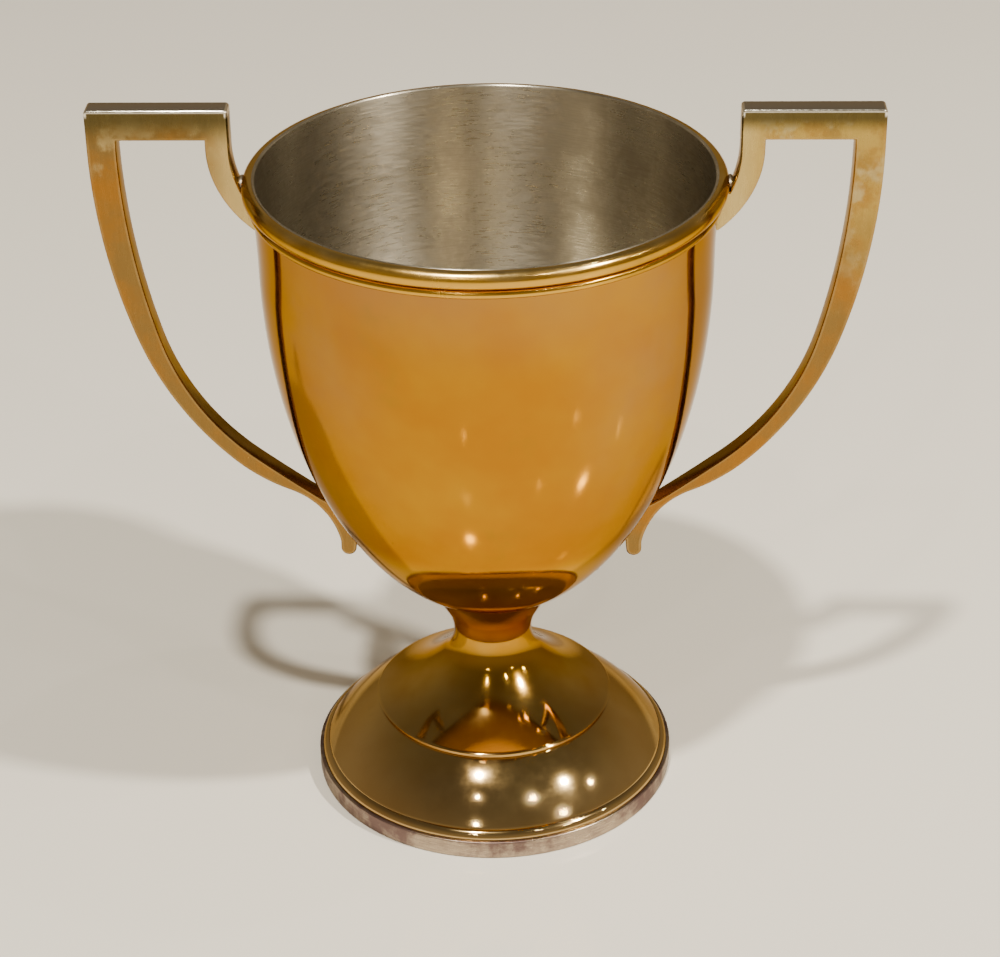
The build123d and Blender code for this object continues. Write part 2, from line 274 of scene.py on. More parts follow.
def gilt(name, deep, worn_and_lit_colour, wear_and_sheen, polish, lines, shift, painted_reflection_below):
    """A gilt finish. Its mask function returns where the gold turns pale, from 0 to 1:
    thinned gold on the foot, a painted reflection on the bowl, and thinned gold with a
    painted highlight on the rim.

    Polish is the least roughness, lines the strength of the lathe's lines, shift moves the
    noise so that no two finishes match, and below the last height a brighter gold is painted
    in as a reflection.
    """
    material, tree, shader = metal(name)
    patches = cloud(tree, 0.045, 4.0, 0.6, shift=shift)
    colour = mixed(tree, spread(tree, patches, 0.35, 0.7), deep, YELLOW_GOLD)
    veil = spread(tree, cloud(tree, 0.017, 6.0, 0.7, shift=shift + 5), 0.55, 0.75, 0.0, 0.45)
    colour = mixed(tree, veil, colour, OLIVE_STAIN)
    colour = mixed(tree, wear_and_sheen(tree), colour, worn_and_lit_colour)
    # Below a given height a brighter gold is painted in: a painted reflection on the bowl's bottom.
    height_of = put(tree, "SeparateXYZ", {0: put(tree, "TexCoord").outputs["Object"]}).outputs[2]
    below = spread(tree, height_of, painted_reflection_below, painted_reflection_below + PAINTED_REFLECTION_FADE, 1.0, 0.0)
    colour = mixed(tree, below, colour, PAINTED_REFLECTION_GOLD)
    specks = spread(tree, cloud(tree, 0.0016, 2.0, shift=shift), 0.72, 0.82, 0.0, 0.6)
    stained = maths(tree, "MULTIPLY", specks, spread(tree, cloud(tree, 0.02, 3.0, shift=shift + 1), 0.5, 0.7))
    colour = mixed(tree, stained, colour, TARNISH)
    turned = turning_lines(tree, 0.0004, 3.0)
    smudges = cloud(tree, 0.012, 5.0, 0.65, shift=shift + 2)
    rough = maths(tree, "ADD", spread(tree, smudges, 0.3, 0.75, polish, polish * 2.2),
                  spread(tree, turned, 0.4, 0.8, 0.0, lines * 0.3))
    height = maths(tree, "ADD", maths(tree, "MULTIPLY", turned, lines),
                   maths(tree, "MULTIPLY", cloud(tree, 0.03, 1.0, shift=shift), 6.0))
    finish_off(tree, shader, colour, rough, height, GILT_BUMP)
    return material


def height_wear_and_sheen(low, high, strength, size=0.02):
    """Paler gold more and more between two heights: thinned gold, and on the rim also a painted highlight."""
    def wear_and_sheen(tree):
        z = put(tree, "SeparateXYZ", {0: put(tree, "TexCoord").outputs["Object"]}).outputs[2]
        waves = maths(tree, "SUBTRACT", cloud(tree, size, 4.0), 0.5)
        uneven = maths(tree, "MULTIPLY", waves, abs(high - low))
        return spread(tree, maths(tree, "ADD", z, uneven), low, high, 0.0, strength)
    return wear_and_sheen


def painted_flank_reflection(tree):
    """Paler rose gold painted on the bowl's sides and just under the rim, in uneven patches: a painted
    reflection.
    """
    where = put(tree, "SeparateXYZ", {0: put(tree, "TexCoord").outputs["Object"]})
    side = spread(tree, maths(tree, "ABSOLUTE", where.outputs[0]), 0.012, 0.050)
    rim = spread(tree, where.outputs[2], 0.125, 0.150)
    uneven = spread(tree, cloud(tree, 0.03, 5.0, 0.6, shift=4.0), 0.3, 0.7, 0.35, 1.0)
    return maths(tree, "MULTIPLY", maths(tree, "MAXIMUM", side, maths(tree, "MULTIPLY", rim, 0.6)),
                 maths(tree, "MULTIPLY", uneven, 0.75))


# On the rim the paler gold near the top is thinned gold and also a painted highlight along the lip.
rim_wear_and_highlight = height_wear_and_sheen(0.1505, 0.1530, 0.6, size=0.01)
foot_wear = height_wear_and_sheen(0.030, 0.010, 0.6)
# On the bowl, the rose gold of the sides and under the rim and the brighter gold low on its bottom are
# painted reflections.
gilt_bowl = gilt("gilt bowl", DEEP_GOLD, ROSE_GOLD, painted_flank_reflection,
                 polish=0.05, lines=0.03, shift=0.0, painted_reflection_below=0.064)
gilt_rim = gilt("gilt rim", RIM_GOLD, PALE_GILT_AND_HIGHLIGHT, rim_wear_and_highlight,
                polish=0.13, lines=0.03, shift=7.0, painted_reflection_below=NOWHERE)
gilt_foot = gilt("gilt foot", FOOT_GOLD, FOOT_PALE, foot_wear,
                 polish=0.06, lines=0.02, shift=11.0, painted_reflection_below=NOWHERE)
print("gilt finishes:", gilt_bowl.name, gilt_rim.name, gilt_foot.name)

# %% [markdown]
# ## Brushed silver inside the bowl
#
# The inside was left silver and brushed on the lathe, so it carries strong lines round the
# axis. They draw a lamp's image out into tall soft streaks. The shader's own anisotropy does
# this once a Tangent node tells it which way the lines run, so no line has to be modelled.
# The band round the foot is the same silver, gone dark with tarnish.

# %% Brushed and tarnished silver
QUARTER_TURN = 0.25


def silver(name, base, stain, stains, polish, lines, pull):
    """Silver with turning lines, cut lines deep, and cloudy tarnish. Pull draws highlights out."""
    material, tree, shader = metal(name, SILVER_AT_THE_EDGE)
    patches = spread(tree, cloud(tree, 0.014, 6.0, 0.7, shift=3.0), 0.42, 0.6, 0.0, stains)
    turned = turning_lines(tree, 0.0003, 14.0, 3.0)
    colour = mixed(tree, patches, base, stain)
    colour = mixed(tree, spread(tree, turned, 0.35, 0.7, 0.0, 0.35), colour, stain)
    rough = maths(tree, "ADD", spread(tree, turned, 0.3, 0.8, polish, polish * 1.5),
                  maths(tree, "MULTIPLY", patches, 0.12))
    finish_off(tree, shader, colour, rough, turned, lines)
    shader.inputs["Anisotropic"].default_value = pull
    shader.inputs["Anisotropic Rotation"].default_value = QUARTER_TURN
    if pull:
        around = put(tree, "Tangent", direction_type="RADIAL", axis="Z")
        tree.links.new(around.outputs[0], shader.inputs["Tangent"])
    return material


brushed_inside = silver("brushed silver", (0.66, 0.61, 0.50), (0.36, 0.31, 0.22),
                        stains=0.5, polish=0.25, lines=0.000012, pull=0.85)
tarnished_band = silver("tarnished silver", (0.46, 0.37, 0.27), (0.17, 0.11, 0.10),
                        stains=0.95, polish=0.24, lines=0.00001, pull=0.0)
print("silver finishes:", brushed_inside.name, tarnished_band.name)

# %% [markdown]
# ## The bowl
#
# The bowl is one spun shell: a tall half ellipsoid below, and a wall above that opens a little
# to the lip. The bottom is flat where a stud is soldered on. A scaled sphere would give the
# wall no thickness, so the profile runs up the gilt outside, over the rounded lip and down
# the brushed inside.

# %% Bowl
bowl_high = corners("bowl")[1]
bead_low, bead_high = corners("rim_bead")
wire_low = corners("rim_fillet_wire")[0]
SHEET = 0.9 * MM
lip_radius = bowl_high.x
lip_height = bowl_high.z
BELLY_RADIUS = lip_radius - 0.6 * MM
BELLY_ROUND = 87.0 * MM
BELLY_CENTRE = 132.0 * MM
FLAT_RADIUS = 8.0 * MM
BELLY_STEPS = 96
LIP_STEPS = 8


def bowl_wall(inset, top):
    """The bowl's profile from the middle of its bottom up to a height."""
    across = BELLY_RADIUS - inset
    turn = acos(FLAT_RADIUS / across)
    angles = [turn * step / BELLY_STEPS for step in range(BELLY_STEPS, -1, -1)]
    belly = [(across * cos(angle), BELLY_CENTRE - (BELLY_ROUND - inset) * sin(angle)) for angle in angles]
    flare = arc(belly[-1], (lip_radius - inset, wire_low.z), (0, 1))[0]
    return [(0.0, belly[0][1]), *belly, *flare[1:], (lip_radius - inset, top)]


lip_round = SHEET / 2
lip_centre = (lip_radius - lip_round, lip_height - lip_round)
outside = bowl_wall(0.0, lip_height - lip_round)
inside = bowl_wall(SHEET, lip_height - lip_round)
lip = []
for step in range(1, LIP_STEPS):
    angle = pi * step / LIP_STEPS
    lip.append((lip_centre[0] + lip_round * cos(angle), lip_centre[1] + lip_round * sin(angle)))
points, faces = spin_mesh(outside + lip + inside[::-1])
gilt_bands = len(outside) + 1
bowl_finish = [0 if index < gilt_bands * TURNS else 1 for index in range(len(faces))]
make_piece("bowl", points, faces, [gilt_bowl, brushed_inside], ["bowl"], bowl_finish)

# %% [markdown]
# ## The rim wires
#
# Two half-round wires are bent into rings and soldered under the lip: a stout bead, and below
# it a thin wire that hides the joint. A torus would be round all over, so a half-round
# section is spun instead. Its flat side sits a hair inside the bowl's sheet.

# %% Rim wires
SUNK = 0.3 * MM


def half_round(low, high, start_radius, steps=18):
    """The profile of a half-round wire from its CAD box, from its lower edge to its upper one."""
    middle, tall, deep = (low.z + high.z) / 2, (high.z - low.z) / 2, high.x - start_radius
    profile = []
    for step in range(steps + 1):
        angle = -pi / 2 + pi * step / steps
        profile.append((start_radius + deep * cos(angle), middle + tall * sin(angle)))
    back = start_radius - SUNK
    return profile + [(back, high.z), (back, low.z)]


for name in ("rim_bead", "rim_fillet_wire"):
    points, faces = spin_mesh(half_round(*corners(name), lip_radius), closed=True)
    make_piece(name, points, faces, [gilt_rim], [name])

# %% [markdown]
# ## The stem and its step
#
# The stem is spun from one sheet. It opens upwards into a short neck that takes the bowl, and
# downwards through a hollow curve that flattens out to a step with a sharp crease and a small
# riser. A Solidify modifier could thicken it, but its ends would lean. Here the outside is
# moved sideways by the sheet's thickness, and the last point is put back level.

# %% Stem and step
stem_low, stem_high = corners("stem_and_step")
WAIST = (9.1 * MM, 36.0 * MM)
NECK_CURVE, NECK_LEAN = 12.0 * MM, radians(30)
TRUMPET_CURVE, TRUMPET_TURN = 8.75 * MM, radians(43)
NECK_OVERLAP = 0.15 * MM
CREASE_HEIGHT = 18.8 * MM
RISER_SET_IN = 0.4 * MM
neck_bend = (WAIST[0] + NECK_CURVE * (1 - cos(NECK_LEAN)), WAIST[1] + NECK_CURVE * sin(NECK_LEAN))
hollow_end = (WAIST[0] + TRUMPET_CURVE * (1 - cos(TRUMPET_TURN)),
              WAIST[1] - TRUMPET_CURVE * sin(TRUMPET_TURN))
neck_height = stem_high.z - neck_bend[1] + NECK_OVERLAP
neck_top = (neck_bend[0] + neck_height * tan(NECK_LEAN), neck_bend[1] + neck_height)
step_edge = (stem_high.x, CREASE_HEIGHT)
riser_radius = step_edge[0] - RISER_SET_IN
CREASE_ROUND = 0.12 * MM
cove = arc(neck_bend, WAIST, (-sin(NECK_LEAN), -cos(NECK_LEAN)), 20)[0]
hollow, leaving = arc(WAIST, hollow_end, (0, -1), 24)
slope = arc(hollow_end, (step_edge[0] - CREASE_ROUND, step_edge[1]), leaving, 32)[0]
downwards = [neck_top, *cove, *hollow[1:], *slope[1:],
             (step_edge[0], step_edge[1] - CREASE_ROUND),
             (riser_radius + CREASE_ROUND, step_edge[1] - RISER_SET_IN),
             (riser_radius, step_edge[1] - RISER_SET_IN - CREASE_ROUND), (riser_radius, stem_low.z)]
upwards = downwards[::-1]
hidden = parallel(upwards, -SHEET)[::-1]
hidden[-1] = (hidden[-1][0], stem_low.z)
points, faces = spin_mesh(upwards + hidden, closed=True)
make_piece("stem_and_step", points, faces, [gilt_foot], ["stem_and_step"])

# %% [markdown]
# ## The foot
#
# Under the step lies a wider dome whose skirt drops inside a heavy plain band. The band is
# what the cup stands on. A quarter-round bead covers the joint of the dome and the band. They
# stay three meshes, as they are three pieces of metal, so each keeps a crisp joint line.

# %% Foot dome, bead and band
dome_low, dome_high = corners("foot_dome")
foot_bead_low, foot_bead_high = corners("foot_bead")
band_high = corners("foot_rim_band")[1]
DOME_LEDGE, DOME_CROWN = 3.0 * MM, 0.8 * MM
DOME_EDGE = (dome_high.x, 6.4 * MM)
dome_top = (riser_radius, dome_high.z)
dome_slope = bulge(dome_top, DOME_EDGE, DOME_CROWN, 32)
dome_down = [(dome_top[0] - DOME_LEDGE, dome_top[1]), *dome_slope, (DOME_EDGE[0], dome_low.z)]
dome_up = dome_down[::-1]
dome_inside = parallel(dome_up, -SHEET)[::-1]
dome_inside[0] = (dome_inside[0][0], dome_top[1] - SHEET)
dome_inside[-1] = (dome_inside[-1][0], dome_low.z)
points, faces = spin_mesh(dome_up + dome_inside, closed=True)
make_piece("foot_dome", points, faces, [gilt_foot], ["foot_dome"])

bead_foot = (foot_bead_high.x, foot_bead_low.z)
bead_curve = arc(bead_foot, DOME_EDGE, (0, 1), 16)[0]
BEAD_BACK_DROP = 0.2 * MM
back = DOME_EDGE[0] - SUNK
bead_profile = [(back, bead_foot[1]), *bead_curve, (back, DOME_EDGE[1] - BEAD_BACK_DROP)]
points, faces = spin_mesh(bead_profile, closed=True)
make_piece("foot_bead", points, faces, [gilt_foot], ["foot_bead"])

BAND_ROUND = 0.35 * MM
CORNER_STEPS = 6
band = [(DOME_EDGE[0], 0.0)]
for middle, first in ((BAND_ROUND, -pi / 2), (band_high.z - BAND_ROUND, 0.0)):
    for step in range(CORNER_STEPS + 1):
        angle = first + pi / 2 * step / CORNER_STEPS
        band.append((band_high.x - BAND_ROUND + BAND_ROUND * cos(angle), middle + BAND_ROUND * sin(angle)))
band.append((DOME_EDGE[0], band_high.z))
points, faces = spin_mesh(band, closed=True)
make_piece("foot_rim_band", points, faces, [tarnished_band], ["foot_rim_band"])

# %% [markdown]
# ## The handles
#
# Each handle is sawn from flat bar. Its outline is drawn once, as a chain of arcs where each
# leaves in the direction in which the last arrived. The heights along the bowl are measured
# down from the middle of its ellipsoid, so the handle follows the bowl. The arm's end stops
# inside the bowl's sheet, short of the bright inside.

# %% Handle outline
handle_low, handle_high = corners("handle_right")
BAR_DEPTH, GRIP_WIDTH, ARM_WIDTH = 6.9 * MM, 6.4 * MM, 5.2 * MM
ARM_OFF_RIM = 2.1 * MM
CURVE_START_DROP = 9.0 * MM
top_z, grip_outer = handle_high.z, handle_high.x
grip_inner = grip_outer - GRIP_WIDTH
arm_inner = bead_high.x + ARM_OFF_RIM
arm_outer = arm_inner + ARM_WIDTH
window_top = top_z - BAR_DEPTH
grip_top = top_z - CURVE_START_DROP
SADDLE_DEPTH = 0.8 * MM


def beside_bowl(drop, stand_off):
    """A point off the bowl's wall, a drop below the middle of its ellipsoid."""
    share = drop * MM / BELLY_ROUND
    return (BELLY_RADIUS * sqrt(1 - share * share) + stand_off * MM, BELLY_CENTRE - drop * MM)


ARC_STEPS = 22


def flow(points, direction, steps=ARC_STEPS):
    """Arcs through a few points, each in line with the one before."""
    line = [points[0]]
    for start, end in zip(points, points[1:]):
        curve, direction = arc(start, end, direction, steps)
        line += curve[1:]
    return line


elbow = (grip_outer - 7.3 * MM, top_z - 54 * MM)
sweep = beside_bowl(49.5, 17.4)
toe_join = beside_bowl(67.7, 0.0)
TOE_WIDTH, TOE_LENGTH = 3.5 * MM, 5.4 * MM
toe_side = toe_join[0] + TOE_WIDTH
toe_z = toe_join[1] - TOE_LENGTH
grip_outside = flow([(grip_outer, grip_top), elbow, sweep, beside_bowl(57.6, 8.5), beside_bowl(65.2, 4.1),
                     (toe_side, toe_z + TOE_WIDTH / 2)], (0, -1))
toe = arc((toe_side, toe_z), (toe_join[0], toe_z), (0, -1), 14)[0]
instep = beside_bowl(59.7, 2.6)
grip_inside = flow([(grip_inner, grip_top), (elbow[0] - 5.1 * MM, elbow[1]), (sweep[0] - 5.9 * MM, sweep[1]),
                    instep], (0, -1))
arm_outside = flow([(arm_outer, grip_top), (arm_outer - 1.9 * MM, lip_height - 3.4 * MM),
                    (BELLY_RADIUS + 0.45 * MM, lip_height - 13.2 * MM)], (0, -1))
arm_seat = (bead_high.x, bead_low.z)
arm_inside = arc((arm_inner, grip_top), arm_seat, (0, -1), ARC_STEPS)[0]
arm_end = arm_outside[-1][1]
in_sheet = [(radius - SADDLE_DEPTH, z) for radius, z in outside if arm_end < z < arm_seat[1]]
saddle = [(in_sheet[0][0], arm_end), *in_sheet, (in_sheet[-1][0], arm_seat[1])]
contact = [beside_bowl(drop, -0.4) for drop in (67.7, 66.0, 64.0, 62.5)]
CORNER = 0.8 * MM


def corner(x, z, first):
    """The rounded corner of the top bar, near (x, z)."""
    angles = [first - pi / 2 * step / CORNER_STEPS for step in range(CORNER_STEPS + 1)]
    return [(x + CORNER * cos(angle), z + CORNER * sin(angle)) for angle in angles]


outline = [*corner(arm_inner + CORNER, top_z - CORNER, pi),
           *corner(grip_outer - CORNER, top_z - CORNER, pi / 2),
           *grip_outside, *toe, *contact, *grip_inside[::-1], (grip_inner, window_top),
           (arm_outer, window_top), *arm_outside, *saddle, *arm_inside[::-1]]
NEAREST = 0.02 * MM
clean_outline = [outline[0]]
for x, z in outline[1:]:
    if hypot(x - clean_outline[-1][0], z - clean_outline[-1][1]) > NEAREST:
        clean_outline.append((x, z))
print("the handle's outline has", len(clean_outline), "points")

# %% [markdown]
# ## Wear and painted light on the handles
#
# Handles are touched most on their tops and edges. The Geometry node's pointiness could find
# the edges, but it is coarse on a long thin mesh. Each point of the mesh stores how close it is
# to an edge instead, in an attribute named "edge", and the finish reads it to rub the gold away
# there and to paint a highlight along the top edges. Height above the table tells the worn top
# from the rest. The finish also paints light: a grey reflection on faces that look up near the
# top, and a dark band of painted shade on the faces just under it.

# %% Handle finish
HANDLE_GOLD, HANDLE_BROWN = (0.33, 0.145, 0.022), (0.24, 0.140, 0.040)
LANDING_GOLD, RUBBED_EDGE = (0.62, 0.47, 0.19), (0.40, 0.26, 0.10)
# The last three colours are painted light: a grey reflection on the tops, a highlight on the top edges, and a
# band of shade under them.
TOP_FACE_REFLECTION, PAINTED_EDGE_HIGHLIGHT, PAINTED_SHADE_BAND = (0.50, 0.47, 0.42), (0.90, 0.85, 0.72), (0.09, 0.068, 0.024)


def handle_finish(name, shift, worn, bare, worn_from, painted_shade_from):
    """Satin gilding with a worn colour from one height up, bare spots, a band of painted shade under the top,
    a painted grey reflection on the tops, and a painted highlight on the top edges.
    """
    material, tree, shader = metal(name)
    where = put(tree, "SeparateXYZ", {0: put(tree, "TexCoord").outputs["Object"]})
    edge = put(tree, "Attribute", attribute_name="edge").outputs["Fac"]
    patches = cloud(tree, 0.02, 5.0, 0.6, shift=15.0 + shift)
    colour = mixed(tree, spread(tree, patches, 0.38, 0.62), HANDLE_GOLD, HANDLE_BROWN)
    waves = maths(tree, "SUBTRACT", cloud(tree, 0.012, 5.0, 0.6, shift=shift), 0.5)
    uneven = maths(tree, "MULTIPLY", waves, 0.05)
    top = spread(tree, maths(tree, "ADD", where.outputs[2], uneven), worn_from, 0.165)
    rubbing = spread(tree, cloud(tree, 0.007, 5.0, 0.65, shift=20.0 + shift), 0.36, 0.60, 0.35, 0.95)
    colour = mixed(tree, maths(tree, "MULTIPLY", top, rubbing), colour, worn)
    spots = spread(tree, cloud(tree, 0.009, 4.0, 0.6, shift=30.0 + shift), 0.5, 0.62, 0.0, 0.8)
    colour = mixed(tree, maths(tree, "MULTIPLY", top, spots), colour, bare)
    near_bowl = spread(tree, maths(tree, "ABSOLUTE", where.outputs[0]), 0.062, 0.053, 0.0, 0.8)
    landing = maths(tree, "MULTIPLY", near_bowl, spread(tree, where.outputs[2], 0.128, 0.136))
    colour = mixed(tree, landing, colour, LANDING_GOLD)
    chance = spread(tree, cloud(tree, 0.006, 4.0, shift=5.0), 0.3, 0.6, 0.1, 0.5)
    rubbed = maths(tree, "MULTIPLY", edge, chance)
    colour = mixed(tree, rubbed, colour, RUBBED_EDGE)
    # Painted reflection: faces that look up near the top turn grey.
    facing = put(tree, "SeparateXYZ", {0: put(tree, "NewGeometry").outputs["Normal"]}).outputs[2]
    high_up = spread(tree, where.outputs[2], 0.150, 0.160)
    upward_reflection = maths(tree, "MULTIPLY", spread(tree, facing, 0.6, 0.95), high_up)
    colour = mixed(tree, upward_reflection, colour, TOP_FACE_REFLECTION)
    # Painted shade: a dark band on the faces that do not look up, just under the top.
    painted_shade = spread(tree, where.outputs[2], painted_shade_from, 0.1652)
    painted_shade = maths(tree, "MULTIPLY", painted_shade, spread(tree, facing, 0.5, 0.2))
    colour = mixed(tree, maths(tree, "MULTIPLY", painted_shade, 0.95), colour, PAINTED_SHADE_BAND)
    # Painted highlight: a pale line along the top edges.
    edge_highlight = maths(tree, "MULTIPLY", edge, spread(tree, where.outputs[2], 0.1650, 0.1660))
    edge_highlight = maths(tree, "MULTIPLY", edge_highlight, spread(tree, facing, 0.99, 0.92))
    colour = mixed(tree, edge_highlight, colour, PAINTED_EDGE_HIGHLIGHT)
    grain = cloud(tree, 0.0009, 3.0, 0.6, stretch=(1.0, 1.0, 0.12))
    smoother = maths(tree, "MULTIPLY", edge, -0.10)
    rough = maths(tree, "ADD", spread(tree, grain, 0.3, 0.7, 0.24, 0.34), smoother)
    finish_off(tree, shader, colour, rough, grain, GILT_BUMP)
    return material


right_finish = handle_finish("gilt handle right", 1, worn=(0.49, 0.34, 0.085), bare=(0.54, 0.45, 0.22),
                             worn_from=0.115, painted_shade_from=0.1612)
left_finish = handle_finish("gilt handle left", -1, worn=(0.20, 0.13, 0.045), bare=(0.46, 0.34, 0.14),
                            worn_from=0.150, painted_shade_from=0.1580)
print("handle finishes:", right_finish.name, left_finish.name)

# %% [markdown]
# ## Turning the outline into a bar
#
# A Bevel modifier could round the edges, but the points of a long curved outline lie so close
# together that its bevels run into each other. Here the outline is moved inwards ring by ring
# along the mitre of its corners, on both faces, and the rings are joined into a rounded edge.

# %% Handle mesh
handle_half = (handle_high.y - handle_low.y) / 2
HANDLE_EDGE = 0.45 * MM
ROUND_STEPS = 5
FADE = 0.3 * MM
SHARPEST = 0.5


def inset(points, gap):
    """The closed outline moved inwards by gap. It runs clockwise, so inwards is to the right."""
    moved = []
    count = len(points)
    for index, point in enumerate(points):
        before = (Vector(point) - Vector(points[index - 1])).normalized()
        after = (Vector(points[(index + 1) % count]) - Vector(point)).normalized()
        bisector = Vector((before.y + after.y, -before.x - after.x))
        stretch = gap / max(1 + before.dot(after), SHARPEST)
        moved.append((point[0] + bisector.x * stretch, point[1] + bisector.y * stretch))
    return moved


def handle(name, side, material):
    """A handle from rings of the outline. Side is 1 for the right and -1 for the left."""
    levels = []
    for step in range(ROUND_STEPS + 1):
        turn = pi / 2 * step / ROUND_STEPS
        level = handle_half - HANDLE_EDGE * (1 - sin(turn))
        levels.append((HANDLE_EDGE * (1 - cos(turn)), level, 1.0))
    levels.append((HANDLE_EDGE + FADE, handle_half, 0.0))
    rings = [(gap, -y, edge) for gap, y, edge in levels[::-1]] + levels
    points, edges = [], []
    count = len(clean_outline)
    for gap, y, edge in rings:
        for x, z in inset(clean_outline, gap):
            points.append((side * x, y, z))
            edges.append(edge)
    faces = []
    for ring in range(len(rings) - 1):
        for index in range(count):
            after = (index + 1) % count
            low, high = ring * count, (ring + 1) * count
            faces.append([low + index, low + after, high + after, high + index][::-side])
    last = (len(rings) - 1) * count
    faces.append(list(range(count))[::side])
    faces.append([last + index for index in range(count)][::-side])
    piece = make_piece(name, points, faces, [material], [name])
    stored = piece.data.attributes.new("edge", "FLOAT", "POINT")
    stored.data.foreach_set("value", edges)
    return piece


handle("handle_right", 1, right_finish)
handle("handle_left", -1, left_finish)

# %% [markdown]
# ## Solder
#
# Where the handles meet the cup a little solder ran into the notch and froze there as a small
# grey lump. Metaballs would do, but they can't be fitted to a size. Each lump is a ball from
# the spin tool, stretched to its CAD box and made uneven by a few seeded waves.

# %% Solder lumps
def solder_finish():
    """Dull grey solder, rough in patches."""
    material, tree, shader = metal("solder")
    patches = cloud(tree, 0.0015, 4.0, 0.6)
    colour = mixed(tree, spread(tree, patches, 0.35, 0.65), (0.62, 0.56, 0.44), (0.36, 0.30, 0.22))
    rough = spread(tree, patches, 0.3, 0.7, 0.25, 0.5)
    finish_off(tree, shader, colour, rough, patches, 0.00008)
    return material


SEED = 5
UNEVEN = 0.05


def lump(name, material, rows=20, turns=28):
    """A soft uneven ball in the CAD box of its name."""
    low, high = corners(name)
    middle, half = (low + high) / 2, (high - low) / 2
    chance = random.Random(SEED)
    waves = [(chance.uniform(1, 4), chance.uniform(0, 6), chance.uniform(1, 4)) for _ in range(5)]
    ball = [(sin(pi * step / rows), -cos(pi * step / rows)) for step in range(rows + 1)]
    points, faces = spin_mesh(ball, turns)
    shaped = []
    for x, y, z in points:
        angle = atan2(y, x)
        ripple = sum(sin(around * angle + start + along * z) for around, start, along in waves)
        swell = 1 - UNEVEN * (1 + ripple / len(waves))
        shaped.append((middle.x + half.x * x * swell, middle.y + half.y * z * swell,
                       middle.z + half.z * y * swell))
    flipped = [face[::-1] for face in faces]
    return make_piece(name, shaped, flipped, [material], [name])


solder = solder_finish()
for name in ("upper_solder_right", "upper_solder_left", "lower_solder_right", "lower_solder_left"):
    lump(name, solder)

# %% [markdown]
# ## The hidden fixing
#
# A threaded stud is soldered under the bowl. It passes through the stem, and a washer and a
# nut pull bowl and stem together from below. They show only when the cup is turned over, so
# one plain plated steel serves all three.

# %% Steel finish
def steel_finish():
    """Plated steel with faint clouds and turning lines."""
    material, tree, shader = metal("zinc plated steel")
    patches = cloud(tree, 0.004, 5.0, 0.6)
    colour = mixed(tree, spread(tree, patches, 0.35, 0.65), (0.56, 0.56, 0.55), (0.42, 0.40, 0.36))
    rough = spread(tree, patches, 0.3, 0.7, 0.28, 0.45)
    height = maths(tree, "ADD", patches, turning_lines(tree, 0.0003, 3.0))
    finish_off(tree, shader, colour, rough, height, 0.00001)
    return material


steel = steel_finish()

# %% [markdown]
# ## The stud
#
# The thread could be a Screw modifier, but then rod and thread would be two skins that cross.
# Here a plain rod with many rows is spun first. Each of its points is then pushed inwards by
# how far it lies from the thread's crest, which climbs one pitch in a turn.

# %% Stud
stud_low, stud_high = corners("bowl_stud")
STUD_RADIUS, FLANGE_THICK, PITCH, THREAD_DEPTH = 2.5 * MM, 1.4 * MM, 0.8 * MM, 0.45 * MM
THREAD_LENGTH = 11 * MM
ROD_CHAMFER, chamfer = 0.6 * MM, 0.2 * MM
ROWS_PER_PITCH = 10
THREAD_TOP = stud_low.z + THREAD_LENGTH
row_height = PITCH / ROWS_PER_PITCH
flange_foot = stud_high.z - FLANGE_THICK
rod = [(0.0, stud_low.z), (STUD_RADIUS - ROD_CHAMFER, stud_low.z), (STUD_RADIUS, stud_low.z + ROD_CHAMFER)]
thread_foot = rod[-1][1]
thread_rows = int((THREAD_TOP - thread_foot) / row_height)
rod += [(STUD_RADIUS, thread_foot + row_height * (row + 1)) for row in range(thread_rows)]
rod += [(STUD_RADIUS, flange_foot - ROD_CHAMFER), (STUD_RADIUS + ROD_CHAMFER, flange_foot),
        (stud_high.x - chamfer, flange_foot), (stud_high.x, flange_foot + chamfer),
        (stud_high.x, stud_high.z), (0.0, stud_high.z)]
points, faces = spin_mesh(rod, 72)
threaded = []
for x, y, z in points:
    cut = 1.0
    if thread_foot <= z <= THREAD_TOP and hypot(x, y) > 0:
        phase = (z / PITCH - atan2(y, x) / (2 * pi)) % 1.0
        cut = 1 - THREAD_DEPTH / STUD_RADIUS * abs(2 * phase - 1)
    threaded.append((x * cut, y * cut, z))
make_piece("bowl_stud", threaded, faces, [steel], ["bowl_stud"])

# %% [markdown]
# ## The washer
#
# The washer's edge has to fit the hollow inside of the stem, or it would hang on a corner. So
# its rim follows the stem's own curve, from the function below.

# %% Washer
washer_low, washer_high = corners("clamp_washer")
BORE = 2.75 * MM
SEAT_STEPS = 8


def hollow_inside(height):
    """A point on the inside of the stem's hollow curve."""
    reach = TRUMPET_CURVE + SHEET
    drop = WAIST[1] - height
    return (WAIST[0] + TRUMPET_CURVE - sqrt(reach * reach - drop * drop), height)


washer_thick = washer_high.z - washer_low.z
seat = [hollow_inside(washer_low.z + washer_thick * step / SEAT_STEPS) for step in range(SEAT_STEPS + 1)]
ring = [(BORE, washer_high.z - chamfer), (BORE, washer_low.z + chamfer), (BORE + chamfer, washer_low.z),
        *seat, (BORE + chamfer, washer_high.z)]
points, faces = spin_mesh(ring, 120, closed=True)
make_piece("clamp_washer", points, faces, [steel], ["clamp_washer"])

# %% [markdown]
# ## The nut
#
# A cylinder of six sides would have sharp corners, and a real nut's corners are turned off in
# a cone. So a round profile is spun, and each point outside the bore is moved to the nearer of
# two surfaces: the flat of the hexagon, or the cone.

